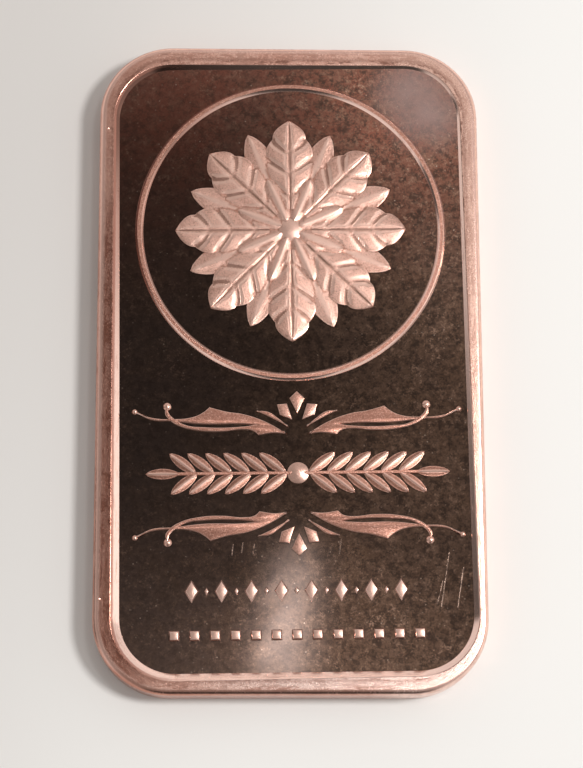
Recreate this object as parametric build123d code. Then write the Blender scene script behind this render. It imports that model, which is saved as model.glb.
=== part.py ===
from build123d import *

import os
from math import dist, radians, tan

# A struck copper ingot of one ounce: a flat bar with a raised rim, a sunken mirror field and low relief.
# One solid, in millimetres. It lies on its back rim, +Z up, with +Y towards the top of the design.
# The upper die met the blank a little turned, shifted and leaning, so the rim is broadest at the lower left.

# Blank: a rounded bar cut from strip, with its edges broken all round
BLANK_WIDTH = 29.0
BLANK_LENGTH = 50.0
BLANK_THICKNESS = 2.685
BLANK_CORNER_RADIUS = 5.6
BLANK_EDGE_RADIUS = 0.42

# Upper die: the plateau that sinks the field, and how it met the blank
FRONT_SIDE_RIM = 1.5
FRONT_END_RIM = 1.7
FIELD_DEPTH = 0.36
FIELD_WALL_DEG = 48.0
DIE_SHIFT = 0.22
DIE_TURN_DEG = 0.7
DIE_LEAN_ABOUT_X_DEG = 0.27
DIE_LEAN_ABOUT_Y_DEG = -0.44

# Lower die: a plain sunken field on the back, square to the blank
BACK_RIM = 1.5
BACK_DEPTH = 0.2

# How far the dies pass the blank's faces, and how far relief is rooted under the field
DIE_OVERRUN = 1.0
RELIEF_ROOT = 0.1

# Ring round the medallion, set in from the field's top and sides
RING_MARGIN = 1.18
RING_WIDTH = 0.64
RING_HEIGHT = 0.2
RING_TOP_SHARE = 0.55

# Rosette in the ring: lobed leaves, plain leaves showing between them, petals and a boss
ROSETTE_MARGIN = 2.4
ROSETTE_LEAF_COUNT = 8
LEAF_ROOT_RADIUS = 1.6
LEAF_HALF_WIDTH = 1.85
LEAF_RIDGE = 0.22
LEAF_FALL = 0.1
LEAF_DROOP = 0.05
LEAF_CUSP_SHARES = ((0.0, 0.4), (0.3, 0.7), (0.56, 0.9), (0.79, 0.68), (1.0, 0.0))
LEAF_LOBE_SAG_SHARE = 0.17
UNDERLEAF_SHORTFALL = 0.5
UNDERLEAF_HALF_WIDTH = 1.2
UNDERLEAF_RIDGE = 0.14
UNDERLEAF_FALL = 0.06
UNDERLEAF_DROOP = 0.03
PETAL_ROOT_RADIUS = 0.6
PETAL_TIP_RADIUS = 4.4
PETAL_HALF_WIDTH = 1.05
PETAL_RIDGE = 0.27
PETAL_FALL = 0.09
PETAL_DROOP = 0.06
BOSS_RADIUS = 1.2
BOSS_HEIGHT = 0.29
DOME_LIP_SHARE = 0.3

# Scrolls above and below the leaf band: one quarter is drawn, outwards and upwards from the band's middle
BAND_FROM_FOOT = 14.77
SCROLL_SHIFT = 0.25
SCROLL_MARGIN = 0.9
SCROLL_RISE = 6.23
SCROLL_HEIGHT = 0.17
WING_BACK_SHARES = ((0.06, 0.474), (0.198, 0.63), (0.326, 0.719), (0.438, 0.756), (0.54, 0.811))
WING_TAIL_SHARES = ((0.54, 0.811), (0.577, 0.75), (0.64, 0.694), (0.769, 0.669), (0.9, 0.69), (1.0, 0.762))
WING_UNDER_SHARES = ((1.0, 0.762), (0.9, 0.662), (0.769, 0.64), (0.579, 0.602), (0.33, 0.599), (0.198, 0.565),
                     (0.06, 0.474))
STRAP_BARB_SHARES = ((0.06, 0.474), (0.149, 0.485), (0.24, 0.461))
STRAP_BACK_SHARES = ((0.24, 0.461), (0.27, 0.51), (0.34, 0.53), (0.46, 0.509), (0.6, 0.52), (0.727, 0.583),
                     (0.79, 0.665), (0.815, 0.745), (0.8, 0.823))
STRAP_FRONT_SHARES = ((0.8, 0.823), (0.79, 0.745), (0.757, 0.672), (0.68, 0.591), (0.579, 0.567),
                      (0.455, 0.559), (0.33, 0.57), (0.198, 0.59), (0.06, 0.474))
LEAFLET_TOP_SHARES = ((0.051, 0.557), (0.116, 0.666), (0.182, 0.75), (0.256, 0.759))
LEAFLET_UNDER_SHARES = ((0.256, 0.759), (0.198, 0.711), (0.124, 0.636), (0.051, 0.557))
SIDE_PETAL_SHARES = ((0.062, 0.846), (0.124, 0.836), (0.107, 0.708), (0.029, 0.647))
CREST_SHARES = ((0.0, 1.0), (0.046, 0.912), (0.0, 0.727))
CURL_BALL_RADIUS = 0.3
TAIL_BALL_RADIUS = 0.21
BALL_HEIGHT = 0.21

# Leaf band between the scrolls: paired leaves on a stem, outwards from a middle boss
BAND_MARGIN = 1.7
BAND_PAIR_COUNT = 6
BAND_LEAF_LENGTH = 2.5
BAND_LEAF_WIDTH = 0.8
BAND_LEAF_SLANT_DEG = 38.0
BAND_LEAF_HEIGHT = 0.19
BAND_STEM_WIDTH = 0.26
BAND_BOSS_RADIUS = 0.8
BAND_BOSS_HEIGHT = 0.24

# Row of large and small lozenges, and the row of square nailheads under it
LOZENGE_ROW_FROM_FOOT = 6.0
LOZENGE_COUNT = 8
LOZENGE_PITCH = 2.2
LOZENGE_WIDTH = 1.2
LOZENGE_LENGTH = 1.9
LOZENGE_HEIGHT = 0.19
SMALL_LOZENGE_WIDTH = 0.5
SMALL_LOZENGE_LENGTH = 0.8
NAILHEAD_ROW_FROM_FOOT = 2.75
NAILHEAD_COUNT = 13
NAILHEAD_PITCH = 1.5
NAILHEAD_WIDTH = 0.9
NAILHEAD_HEIGHT = 0.19
STUD_SLOPE_DEG = 40.0

# Sizes that follow from those above
FIELD_WIDTH = BLANK_WIDTH - 2 * FRONT_SIDE_RIM
FIELD_LENGTH = BLANK_LENGTH - 2 * FRONT_END_RIM
FIELD_FOOT_Y = -FIELD_LENGTH / 2
RING_RADIUS = FIELD_WIDTH / 2 - RING_MARGIN
RING_CENTRE_Y = FIELD_LENGTH / 2 - RING_MARGIN - RING_RADIUS
LEAF_TIP_RADIUS = RING_RADIUS - RING_WIDTH - ROSETTE_MARGIN
UNDERLEAF_TIP_RADIUS = LEAF_TIP_RADIUS - UNDERLEAF_SHORTFALL
SCROLL_REACH = FIELD_WIDTH / 2 - SCROLL_MARGIN
BAND_HALF_LENGTH = FIELD_WIDTH / 2 - BAND_MARGIN


def blank():
    """The bar before striking, standing on z = 0."""
    bar = extrude(RectangleRounded(BLANK_WIDTH, BLANK_LENGTH, BLANK_CORNER_RADIUS), BLANK_THICKNESS)
    levels = bar.edges().group_by(Axis.Z)
    return fillet(levels[0] + levels[-1], BLANK_EDGE_RADIUS)


def plateau(side_rim, end_rim, depth):
    """The part of a die that sinks a field: it stands on the field and widens upwards at the wall's slope."""
    foot = RectangleRounded(
        BLANK_WIDTH - 2 * side_rim, BLANK_LENGTH - 2 * end_rim, BLANK_CORNER_RADIUS - side_rim
    )
    return extrude(foot, depth + DIE_OVERRUN, taper=-FIELD_WALL_DEG)


def raised(outline, height):
    """Flat-topped relief of an outline on the field, rooted a little under it."""
    return Pos(0, 0, -RELIEF_ROOT) * extrude(outline, RELIEF_ROOT + height)


def dome(radius, height):
    """A round boss with a domed top."""
    lip = height * DOME_LIP_SHARE
    crown = height - lip
    top = RadiusArc((radius, lip), (0, height), -(crown**2 + radius**2) / (2 * crown))
    side = Polyline((0, height), (0, -RELIEF_ROOT), (radius, -RELIEF_ROOT), (radius, lip))
    return revolve(Plane.XZ * make_face(top + side), Axis.Z)


def ring():
    """The raised ring: flat on top, sloped on both sides."""
    inner, outer = RING_RADIUS - RING_WIDTH, RING_RADIUS
    slope = RING_WIDTH * (1 - RING_TOP_SHARE) / 2
    section = Polyline(
        (inner, -RELIEF_ROOT), (inner, 0), (inner + slope, RING_HEIGHT), (outer - slope, RING_HEIGHT),
        (outer, 0), (outer, -RELIEF_ROOT), close=True,
    )
    return revolve(Plane.XZ * make_face(section), Axis.Z)


def lens(start, end, half_width):
    """A plain leaf along +X, pointed at both ends."""
    belly = ThreePointArc((start, 0), ((start + end) / 2, half_width), (end, 0))
    return make_face(belly + mirror(belly, Plane.XZ))


def lobed_leaf():
    """A leaf along +X whose sides are three lobes and a point."""
    length = LEAF_TIP_RADIUS - LEAF_ROOT_RADIUS
    cusps = [(LEAF_ROOT_RADIUS + along * length, out * LEAF_HALF_WIDTH) for along, out in LEAF_CUSP_SHARES]
    lobes = Curve() + [
        SagittaArc(near, far, LEAF_LOBE_SAG_SHARE * dist(near, far)) for near, far in zip(cusps, cusps[1:])
    ]
    root = Line((cusps[0][0], -cusps[0][1]), cusps[0])
    return make_face(lobes + mirror(lobes, Plane.XZ) + root)


def creased(outline, start, end, half_width, ridge, fall, droop):
    """Relief of a leaf along +X: a ridge that droops towards the tip, with sides that fall to the edges."""
    eaves = 2 * half_width
    gable = Polyline(
        (-eaves, -RELIEF_ROOT), (eaves, -RELIEF_ROOT), (eaves, ridge - 2 * fall), (0, ridge),
        (-eaves, ridge - 2 * fall), close=True,
    )
    length = dist((start, ridge), (end, ridge - droop))
    roof = extrude(Pos(start, 0) * Plane.YZ * make_face(gable), length, dir=(end - start, 0, -droop))
    return raised(outline, ridge) & roof


def round_middle(leaf, turn):
    """A leaf repeated evenly round the rosette's middle."""
    step = 360 / ROSETTE_LEAF_COUNT
    return Part() + [Rot(0, 0, turn + step * i) * leaf for i in range(ROSETTE_LEAF_COUNT)]


def rosette():
    """The medallion's leaf rosette, about its own middle."""
    leaf = creased(
        lobed_leaf(), LEAF_ROOT_RADIUS, LEAF_TIP_RADIUS, LEAF_HALF_WIDTH, LEAF_RIDGE, LEAF_FALL, LEAF_DROOP
    )
    under = creased(
        lens(LEAF_ROOT_RADIUS, UNDERLEAF_TIP_RADIUS, UNDERLEAF_HALF_WIDTH),
        LEAF_ROOT_RADIUS, UNDERLEAF_TIP_RADIUS, UNDERLEAF_HALF_WIDTH,
        UNDERLEAF_RIDGE, UNDERLEAF_FALL, UNDERLEAF_DROOP,
    )
    petal = creased(
        lens(PETAL_ROOT_RADIUS, PETAL_TIP_RADIUS, PETAL_HALF_WIDTH),
        PETAL_ROOT_RADIUS, PETAL_TIP_RADIUS, PETAL_HALF_WIDTH,
        PETAL_RIDGE, PETAL_FALL, PETAL_DROOP,
    )
    between = 180 / ROSETTE_LEAF_COUNT
    return (
        round_middle(under, between)
        + round_middle(leaf, 0)
        + round_middle(petal, between)
        + dome(BOSS_RADIUS, BOSS_HEIGHT)
    )


def scroll_points(shares):
    """Points of the scroll's quarter from shares of its reach and rise."""
    return [(out * SCROLL_REACH, up * SCROLL_RISE) for out, up in shares]


def scroll_quarter():
    """A winged scroll with a strap that curls up through its tail, a leaflet and half of the crest."""
    def curve(shares):
        return Spline(*scroll_points(shares))

    wing = make_face(curve(WING_BACK_SHARES) + curve(WING_TAIL_SHARES) + curve(WING_UNDER_SHARES))
    strap = make_face(curve(STRAP_BARB_SHARES) + curve(STRAP_BACK_SHARES) + curve(STRAP_FRONT_SHARES))
    leaflet = make_face(curve(LEAFLET_TOP_SHARES) + curve(LEAFLET_UNDER_SHARES))
    side_petal = make_face(Polyline(*scroll_points(SIDE_PETAL_SHARES), close=True))
    crest = make_face(Polyline(*scroll_points(CREST_SHARES), close=True))
    tail_end, curl_end = scroll_points((WING_TAIL_SHARES[-1], STRAP_BACK_SHARES[-1]))
    return (
        raised(wing + strap + leaflet + side_petal + crest, SCROLL_HEIGHT)
        + raised(Pos(*tail_end) * Circle(TAIL_BALL_RADIUS), BALL_HEIGHT)
        + raised(Pos(*curl_end) * Circle(CURL_BALL_RADIUS), BALL_HEIGHT)
    )


def leaf_band():
    """The band's right half: a stem with paired leaves and one at its end."""
    leaf = lens(0, BAND_LEAF_LENGTH, BAND_LEAF_WIDTH / 2)
    stem_end = BAND_HALF_LENGTH - BAND_LEAF_LENGTH
    pitch = (stem_end - BAND_BOSS_RADIUS) / BAND_PAIR_COUNT
    stem_length = stem_end + BAND_LEAF_LENGTH / 2
    stem = Pos(stem_length / 2, 0) * Rectangle(stem_length, BAND_STEM_WIDTH)
    outline = stem + Pos(stem_end, 0) * leaf
    for i in range(BAND_PAIR_COUNT):
        foot = Pos(BAND_BOSS_RADIUS + pitch * i, 0)
        outline += foot * Rot(0, 0, BAND_LEAF_SLANT_DEG) * leaf
        outline += foot * Rot(0, 0, -BAND_LEAF_SLANT_DEG) * leaf
    return raised(outline, BAND_LEAF_HEIGHT)


def scrolls_and_band():
    """Four scroll quarters round the leaf band, about the band's middle."""
    upper = scroll_quarter()
    upper = upper + mirror(upper, Plane.YZ)
    band = leaf_band()
    band = band + mirror(band, Plane.YZ) + dome(BAND_BOSS_RADIUS, BAND_BOSS_HEIGHT)
    return [upper, mirror(upper, Plane.XZ), band]


def stud(outline, height):
    """A cut stud: an outline with sides sloped in to a flat top, rooted under the field."""
    return raised(outline, 0) + extrude(outline, height, taper=STUD_SLOPE_DEG)


def lozenge(width, length):
    """A lozenge-shaped stud."""
    corners = (width / 2, 0), (0, length / 2), (-width / 2, 0), (0, -length / 2)
    return stud(make_face(Polyline(*corners, close=True)), LOZENGE_HEIGHT)


def lozenge_row():
    """Large lozenges on one line with a small one in each gap."""
    large = GridLocations(LOZENGE_PITCH, 0, LOZENGE_COUNT, 1) * lozenge(LOZENGE_WIDTH, LOZENGE_LENGTH)
    small = GridLocations(LOZENGE_PITCH, 0, LOZENGE_COUNT - 1, 1) * lozenge(
        SMALL_LOZENGE_WIDTH, SMALL_LOZENGE_LENGTH
    )
    return large + small


def nailhead_row():
    """A straight row of square studs."""
    square = Rectangle(NAILHEAD_WIDTH, NAILHEAD_WIDTH)
    return GridLocations(NAILHEAD_PITCH, 0, NAILHEAD_COUNT, 1) * stud(square, NAILHEAD_HEIGHT)


def relief():
    """Everything that the upper die raises on the field, in the die's own frame."""
    medallion = Pos(0, RING_CENTRE_Y)
    middle = Pos(SCROLL_SHIFT, FIELD_FOOT_Y + BAND_FROM_FOOT)
    return (
        [medallion * ring(), medallion * rosette()]
        + [middle * piece for piece in scrolls_and_band()]
        + [Pos(0, FIELD_FOOT_Y + LOZENGE_ROW_FROM_FOOT) * piece for piece in lozenge_row()]
        + [Pos(0, FIELD_FOOT_Y + NAILHEAD_ROW_FROM_FOOT) * piece for piece in nailhead_row()]
    )


def ingot():
    """The struck bar: both fields sunk, and the relief raised on the front one."""
    die = Location(
        (DIE_SHIFT, 0, BLANK_THICKNESS - FIELD_DEPTH),
        (DIE_LEAN_ABOUT_X_DEG, DIE_LEAN_ABOUT_Y_DEG, DIE_TURN_DEG),
    )
    front = die * plateau(FRONT_SIDE_RIM, FRONT_END_RIM, FIELD_DEPTH)
    back = Pos(0, 0, BACK_DEPTH) * Rot(180, 0, 0) * plateau(BACK_RIM, BACK_RIM, BACK_DEPTH)
    return blank() - front - back + [die * piece for piece in relief()]


os.makedirs("parts", exist_ok=True)
bar = ingot()
print("volume", round(bar.volume, 2), "solids", len(bar.solids()), "valid", bar.is_valid)
export_step(bar, "parts/copper_ingot.step")
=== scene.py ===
from math import cos, exp, hypot, pi, radians, tan

import bmesh
import bpy
from mathutils import Euler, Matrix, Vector


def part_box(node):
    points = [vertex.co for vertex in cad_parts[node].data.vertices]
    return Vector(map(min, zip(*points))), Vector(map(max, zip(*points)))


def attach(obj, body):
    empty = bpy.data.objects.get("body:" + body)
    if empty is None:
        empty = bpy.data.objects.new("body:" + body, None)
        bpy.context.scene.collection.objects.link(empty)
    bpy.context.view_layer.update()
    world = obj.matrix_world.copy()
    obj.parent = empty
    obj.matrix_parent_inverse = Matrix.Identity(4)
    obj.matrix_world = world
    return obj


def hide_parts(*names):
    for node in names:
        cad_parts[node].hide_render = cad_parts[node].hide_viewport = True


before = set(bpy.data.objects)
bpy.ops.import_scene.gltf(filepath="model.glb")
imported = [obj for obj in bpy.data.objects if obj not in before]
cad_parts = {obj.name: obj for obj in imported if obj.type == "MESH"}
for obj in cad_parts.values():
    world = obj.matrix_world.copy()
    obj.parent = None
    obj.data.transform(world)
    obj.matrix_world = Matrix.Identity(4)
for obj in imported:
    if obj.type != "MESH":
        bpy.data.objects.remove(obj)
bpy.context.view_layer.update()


# The blank: a flat bar of copper cut from strip, with round corners.
# It was tumbled before striking, so its edges are broken all round, top and bottom.
# Handling has left its rim pink where it rubs bright, and brown in streaks along the edge; its right side and
# near end are painted lighter and less brown, a painted highlight where the lamps fall.

mm = 0.001
touch = 0.001 * mm  # points closer than this count as one
low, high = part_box("copper_ingot")
bar_width, bar_length, bar_thickness = (high[i] - low[i] for i in range(3))
corner_radius, corner_segments = 5.6 * mm, 16
edge_radius, edge_segments = 0.42 * mm, 6


def start_piece():
    """Leave edit mode and deselect everything, so that the next operator acts on its own piece alone."""
    if bpy.context.object and bpy.context.object.mode == "EDIT":
        bpy.ops.object.mode_set(mode="OBJECT")
    bpy.ops.object.select_all(action="DESELECT")


def take(piece):
    """Select one piece alone and make it the active one."""
    start_piece()
    bpy.context.view_layer.objects.active = piece
    piece.select_set(True)


def edit(piece):
    """Open one piece in edit mode with nothing selected."""
    take(piece)
    bpy.ops.object.mode_set(mode="EDIT")
    bpy.ops.mesh.select_mode(type="VERT")
    bpy.ops.mesh.select_all(action="DESELECT")


def pick(piece, kind, test):
    """Select only the edges or faces that pass a test."""
    bpy.ops.mesh.select_mode(type={"edges": "EDGE", "faces": "FACE"}[kind])
    bpy.ops.mesh.select_all(action="DESELECT")
    mesh = bmesh.from_edit_mesh(piece.data)
    for item in getattr(mesh, kind):
        if test(item):
            item.select_set(True)
    bmesh.update_edit_mesh(piece.data)


def done():
    """Back to object mode with the edited piece in hand."""
    bpy.ops.object.mode_set(mode="OBJECT")
    return bpy.context.object


def settle(piece):
    """Put a piece's place, turn and size into its mesh."""
    take(piece)
    bpy.ops.object.transform_apply(location=True, rotation=True, scale=True)
    return piece


def add_node(tree, kind, values, **settings):
    """Place a node with its settings, and give its inputs their values or links by name or number."""
    node = tree.nodes.new(kind)
    for name, value in settings.items():
        setattr(node, name, value)
    for name, value in values.items():
        if isinstance(value, bpy.types.NodeSocket):
            tree.links.new(value, node.inputs[name])
        else:
            node.inputs[name].default_value = value
    return node


def reckon(tree, operation, *values):
    """One step of arithmetic on one to three values."""
    return add_node(tree, "ShaderNodeMath", dict(enumerate(values)), operation=operation).outputs[0]


def times(tree, product, *factors):
    """Masks or shares multiplied together."""
    for factor in factors:
        product = reckon(tree, "MULTIPLY", product, factor)
    return product


def scaled(tree, value, factor, start):
    """A value times a factor, added to a start."""
    return reckon(tree, "MULTIPLY_ADD", value, factor, start)


def vector(tree, operation, *values):
    """One step of vector arithmetic; a dot product or a distance gives a plain number."""
    node = add_node(tree, "ShaderNodeVectorMath", dict(enumerate(values)), operation=operation)
    return node.outputs["Value" if operation in ("DOT_PRODUCT", "DISTANCE") else "Vector"]


def split(tree, place):
    """The X, Y and Z of a place."""
    return add_node(tree, "ShaderNodeSeparateXYZ", {0: place}).outputs[:]


def ease(tree, value, start, end):
    """A mask that rises softly from 0 at one value to 1 at another."""
    values = {"Value": value, 1: start, 2: end}
    return add_node(tree, "ShaderNodeMapRange", values, interpolation_type="SMOOTHSTEP").outputs[0]


def blend(tree, under, over, *masks):
    """One colour laid over another as far as the masks, multiplied together, say."""
    values = {0: times(tree, *masks), 6: under, 7: over}
    return add_node(tree, "ShaderNodeMix", values, data_type="RGBA").outputs[2]


def clouds(tree, place, scale, detail=4.0, rough=0.6):
    """Soft random cloudiness with so many patches to the millimetre."""
    values = {"Vector": place, "Scale": scale, "Detail": detail, "Roughness": rough}
    return add_node(tree, "ShaderNodeTexNoise", values).outputs[0]


def new_group(name, vectors, numbers, answer):
    """An empty node group with named sockets: its tree, its inputs and its one output."""
    tree = bpy.data.node_groups.new(name, "ShaderNodeTree")
    for label in vectors:
        tree.interface.new_socket(label, in_out="INPUT", socket_type="NodeSocketVector")
    for label in numbers:
        tree.interface.new_socket(label, in_out="INPUT", socket_type="NodeSocketFloat")
    tree.interface.new_socket(answer, in_out="OUTPUT", socket_type="NodeSocketFloat")
    return tree, tree.nodes.new("NodeGroupInput").outputs, tree.nodes.new("NodeGroupOutput").inputs[answer]


def use(tree, group, **values):
    """The result of a shared node group, with this finish's own values."""
    named = {label.replace("_", " "): value for label, value in values.items()}
    return add_node(tree, "ShaderNodeGroup", named, node_tree=group).outputs[0]


def new_metal(name):
    """A metal with nodes: its material, tree and shader, and the place on the bar in millimetres."""
    metal = bpy.data.materials.new(name)
    metal.use_nodes = True
    tree = metal.node_tree
    shader = tree.nodes["Principled BSDF"]
    shader.inputs["Metallic"].default_value = 1.0
    place = add_node(tree, "ShaderNodeTexCoord", {}).outputs["Object"]
    place = add_node(tree, "ShaderNodeVectorMath", {0: place, "Scale": 1 / mm}, operation="SCALE").outputs[0]
    return metal, tree, shader, place


def finish_metal(tree, shader, colour, rough, height):
    """Join a metal's colour, its roughness and its fine relief, a height in millimetres, to its shader."""
    bump = add_node(tree, "ShaderNodeBump", {"Strength": 1.0, "Distance": mm, "Height": height})
    tree.links.new(colour, shader.inputs["Base Color"])
    tree.links.new(rough, shader.inputs["Roughness"])
    tree.links.new(bump.outputs[0], shader.inputs["Normal"])


# edge_distance: how far a point lies outside a rectangle with round corners, seen from above
edge_distance, given, result = new_group(
    "edge_distance", ["Place"], ["Half Width", "Half Length", "Corner"], "Distance")
over = []
for axis, half in zip(split(edge_distance, given["Place"]), ("Half Width", "Half Length")):
    straight = reckon(edge_distance, "SUBTRACT", given[half], given["Corner"])
    over.append(reckon(edge_distance, "SUBTRACT", reckon(edge_distance, "ABSOLUTE", axis), straight))
beyond = [reckon(edge_distance, "MAXIMUM", side, 0.0) for side in over]
squares = [times(edge_distance, side, side) for side in beyond]
outside = reckon(edge_distance, "SQRT", reckon(edge_distance, "ADD", *squares))
inside = reckon(edge_distance, "MINIMUM", reckon(edge_distance, "MAXIMUM", *over), 0.0)
total = reckon(edge_distance, "ADD", outside, inside)
edge_distance.links.new(reckon(edge_distance, "SUBTRACT", total, given["Corner"]), result)

# grain: the fine tooth of struck or handled metal, from 0 to 1
grain, given, result = new_group("grain", ["Place"], ["Per Millimetre"], "Height")
finer_by, finer_share = 2.7, 0.4
coarse = clouds(grain, given["Place"], given["Per Millimetre"], detail=2.0)
finer = clouds(grain, given["Place"], times(grain, given["Per Millimetre"], finer_by), detail=1.0)
grain.links.new(scaled(grain, finer, finer_share, times(grain, coarse, 1 - finer_share)), result)

# tarnish: patches of toning broken up by a finer mottle, from 0 to 1
tarnish, given, result = new_group("tarnish", ["Place"], ["Per Millimetre", "Start", "End"], "Mask")
finer_by, finer_share = 5.3, 0.35
patches = clouds(tarnish, given["Place"], given["Per Millimetre"], detail=6.0, rough=0.68)
finer = clouds(tarnish, given["Place"], times(tarnish, given["Per Millimetre"], finer_by), rough=0.7)
mixed = scaled(tarnish, finer, finer_share, times(tarnish, patches, 1 - finer_share))
tarnish.links.new(ease(tarnish, mixed, given["Start"], given["End"]), result)

# mark: a line or a dot on the metal between two points, seen from above, from 0 to 1
mark, given, result = new_group("mark", ["Place", "From", "To"], ["Width"], "Mask")
shortest = 1e-6
spot, head, tail = (vector(mark, "MULTIPLY", given[label], (1, 1, 0)) for label in ("Place", "From", "To"))
reach = vector(mark, "SUBTRACT", spot, head)
run = vector(mark, "SUBTRACT", tail, head)
whole = reckon(mark, "MAXIMUM", vector(mark, "DOT_PRODUCT", run, run), shortest)
division = {0: vector(mark, "DOT_PRODUCT", reach, run), 1: whole}
share = add_node(mark, "ShaderNodeMath", division, operation="DIVIDE", use_clamp=True).outputs[0]
nearest = add_node(mark, "ShaderNodeVectorMath", {0: run, "Scale": share}, operation="SCALE").outputs[0]
off = vector(mark, "DISTANCE", reach, nearest)
mark.links.new(ease(mark, off, given["Width"], 0.0), result)

# worn_copper, on the rim and sides: the colours, the masks by place and by chance, and the layers
worn_copper, tree, shader, place = new_metal("worn_copper")
pink = (0.88, 0.49, 0.385, 1)
warm_pink = (0.93, 0.56, 0.45, 1)
painted_lit_right_pink = (0.90, 0.57, 0.46, 1)
painted_highlight_pink = (0.965, 0.70, 0.61, 1)
rubbed_pink = (0.955, 0.62, 0.52, 1)
brown_toning = (0.34, 0.135, 0.092, 1)
seam_brown = (0.25, 0.105, 0.075, 1)
near_brown = (0.46, 0.20, 0.14, 1)
bright_grain = (0.95, 0.64, 0.53, 1)
dark_grain = (0.46, 0.21, 0.15, 1)

x, y = split(tree, place)[:2]
edge = use(tree, edge_distance, Place=place, Half_Width=bar_width / 2 / mm,
           Half_Length=bar_length / 2 / mm, Corner=corner_radius / mm)
across_edge, along_edge = 2.6, 0.6  # the streaks are thin across the edge and long along it
drawn = add_node(tree, "ShaderNodeCombineXYZ", {
    "X": times(tree, edge, across_edge),
    "Y": times(tree, x, along_edge),
    "Z": times(tree, y, along_edge)}).outputs[0]
streaks = use(tree, tarnish, Place=drawn, Per_Millimetre=1.0, Start=0.5, End=0.56)
blotches = use(tree, tarnish, Place=place, Per_Millimetre=0.7, Start=0.5, End=0.57)
cast = use(tree, tarnish, Place=place, Per_Millimetre=0.3, Start=0.4, End=0.6)
tooth = use(tree, grain, Place=place, Per_Millimetre=6.0)
# painted light: the right side and the near end of the rim are painted lighter and less brown, a painted
# highlight
painted_lit_right = ease(tree, x, 3.0, 12.0)
painted_highlight_near_end = times(tree, ease(tree, y, -19.0, -23.0), ease(tree, x, -11.0, 1.0))
painted_lit_sides = reckon(tree, "MAXIMUM", painted_lit_right, painted_highlight_near_end)
left_side = times(tree, ease(tree, x, -8.5, -12.6), scaled(tree, ease(tree, y, 8.0, 15.0), -0.45, 1.0))
patchy = scaled(tree, reckon(tree, "MAXIMUM", streaks, blotches), 0.3, 0.68)
brown = reckon(tree, "MAXIMUM", times(tree, streaks, 0.75), times(tree, blotches, 0.6))
brown = times(tree, brown, scaled(tree, painted_lit_sides, -0.2, 0.65))
brown = reckon(tree, "MAXIMUM", brown, times(tree, left_side, patchy))
ragged = scaled(tree, tooth, 0.5, scaled(tree, streaks, 0.2, edge))
seam = times(tree, ease(tree, ragged, -0.98, -0.80), ease(tree, ragged, -0.50, -0.72))
lightened = times(tree, ease(tree, edge, -0.62, -0.36), ease(tree, edge, -0.02, -0.26))
near_edge = times(tree, ease(tree, y, -22.5, -24.0), ease(tree, x, 9.0, 5.0), ease(tree, ragged, -0.30, 0.0))

colour = blend(tree, pink, warm_pink, cast)
colour = blend(tree, colour, painted_lit_right_pink, painted_lit_right)
colour = blend(tree, colour, painted_highlight_pink, painted_highlight_near_end)
colour = blend(tree, colour, brown_toning, brown)
colour = blend(tree, colour, seam_brown, seam, scaled(tree, streaks, 0.35, 0.4))
colour = blend(tree, colour, bright_grain, ease(tree, tooth, 0.54, 0.68), 0.25)
colour = blend(tree, colour, dark_grain, ease(tree, tooth, 0.48, 0.36), 0.28)
colour = blend(tree, colour, rubbed_pink, lightened, 0.75)
colour = blend(tree, colour, near_brown, near_edge, 0.65)
rough = scaled(tree, brown, -0.04, scaled(tree, tooth, 0.14, 0.19))

# its fine relief: drawn lines and tooth, shear marks down the sides, and two pits in the left rim
shear = clouds(tree, vector(tree, "MULTIPLY", place, (5.0, 5.0, 0.6)), 1.0, detail=3.0)
shear = times(tree, shear, ease(tree, edge, -0.15, -0.02))
far_pit = use(tree, mark, Place=place, From=(-13.72, 18.2, 0), To=(-13.7, 18.2, 0), Width=0.22)
near_pit = use(tree, mark, Place=place, From=(-13.85, -18.0, 0), To=(-13.83, -18.0, 0), Width=0.18)
height = scaled(tree, clouds(tree, drawn, 0.9, detail=3.0), 0.008, times(tree, tooth, 0.004))
height = scaled(tree, shear, 0.015, height)
height = scaled(tree, brown, -0.002, height)
height = scaled(tree, reckon(tree, "ADD", far_pit, near_pit), -0.05, height)
finish_metal(tree, shader, colour, rough, height)


def is_upright(e):
    """Whether an edge of the blank runs through its thickness."""
    return abs(e.verts[0].co.z - e.verts[1].co.z) > bar_thickness / 2


start_piece()
bpy.ops.mesh.primitive_cube_add(size=1, location=(0, 0, bar_thickness / 2))
bar = bpy.context.object
bar.name = "struck_bar"
bar.data.materials.append(worn_copper)
bar.scale = (bar_width, bar_length, bar_thickness)
settle(bar)
edit(bar)
pick(bar, "edges", is_upright)
bpy.ops.mesh.bevel(offset=corner_radius, segments=corner_segments, affect="EDGES")
pick(bar, "edges", lambda e: not is_upright(e))
bpy.ops.mesh.bevel(offset=edge_radius, segments=edge_segments, affect="EDGES")
done()


# The sunken fields: polished dies press a flat plateau into each face and leave the rim standing.
# The upper die met the blank a little shifted, turned and leaning; the lower one met it square.
# Their floors are mirror copper that has toned to a dark mottled brown; the sloped walls stay bright.

die_shift = 0.22 * mm
die_turn = (radians(0.27), radians(-0.44), radians(0.7))
front_depth = 0.36 * mm
back_depth = 0.2 * mm
wall_slope = radians(48)
side_rim, end_rim = 1.5 * mm, 1.7 * mm


def to_die(piece):
    """Set a piece that was made about the field's middle where the upper die struck it."""
    piece.rotation_mode = "ZYX"
    piece.rotation_euler = die_turn
    piece.location = (die_shift, 0, bar_thickness - front_depth)
    settle(piece)
    piece.rotation_mode = "XYZ"
    return piece


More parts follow.
